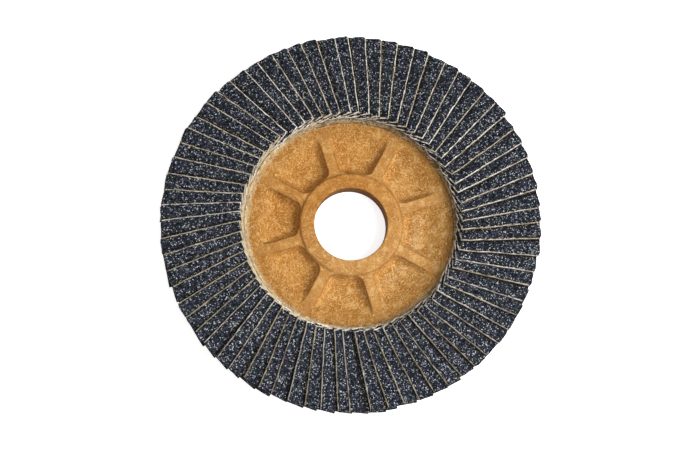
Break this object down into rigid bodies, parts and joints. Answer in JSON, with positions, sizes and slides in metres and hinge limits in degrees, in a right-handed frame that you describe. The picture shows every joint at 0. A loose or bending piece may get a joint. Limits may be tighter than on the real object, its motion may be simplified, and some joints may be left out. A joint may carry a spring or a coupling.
{
  "type": "flap disc",
  "caption": "Flap disc with a ribbed, depressed-centre backing plate of moulded natural fibre, a round bore and a ring of overlapping strips of coated abrasive cloth.",
  "frame": {"origin": "on the axis of the bore, in the plane of the hub's back face, on which the disc lies", "axes": "+Z along the bore and out of the working face; +X and +Y in the plane of the disc"},
  "size_m": [0.1152, 0.1152, 0.0126],
  "materials": {
    "fibre_composite": "moulded natural-fibre composite, golden brown with short pale fibres",
    "adhesive": "cured resin, cream, rough, with frayed threads",
    "abrasive_cloth": "near-black grit on woven cotton and polyester cloth with pale cut edges"
  },
  "bodies": {
    "root": {"backing_plate": "fibre_composite", "adhesive_ring": "adhesive", "flap_pair_01": "abrasive_cloth", "flap_pair_02": "abrasive_cloth", "flap_pair_03": "abrasive_cloth", "flap_pair_04": "abrasive_cloth", "flap_pair_05": "abrasive_cloth", "flap_pair_06": "abrasive_cloth", "flap_pair_07": "abrasive_cloth", "flap_pair_08": "abrasive_cloth", "flap_pair_09": "abrasive_cloth", "flap_pair_10": "abrasive_cloth", "flap_pair_11": "abrasive_cloth", "flap_pair_12": "abrasive_cloth", "flap_pair_13": "abrasive_cloth", "flap_pair_14": "abrasive_cloth", "flap_pair_15": "abrasive_cloth", "flap_pair_16": "abrasive_cloth", "flap_pair_17": "abrasive_cloth", "flap_pair_18": "abrasive_cloth", "flap_pair_19": "abrasive_cloth", "flap_pair_20": "abrasive_cloth", "flap_pair_21": "abrasive_cloth", "flap_pair_22": "abrasive_cloth", "flap_pair_23": "abrasive_cloth", "flap_pair_24": "abrasive_cloth", "flap_pair_25": "abrasive_cloth", "flap_pair_26": "abrasive_cloth", "flap_pair_27": "abrasive_cloth", "flap_pair_28": "abrasive_cloth", "flap_pair_29": "abrasive_cloth", "flap_pair_30": "abrasive_cloth", "flap_pair_31": "abrasive_cloth", "flap_pair_32": "abrasive_cloth", "flap_pair_33": "abrasive_cloth", "flap_pair_34": "abrasive_cloth", "flap_pair_35": "abrasive_cloth", "flap_pair_36": "abrasive_cloth"}
  },
  "joints": []
}
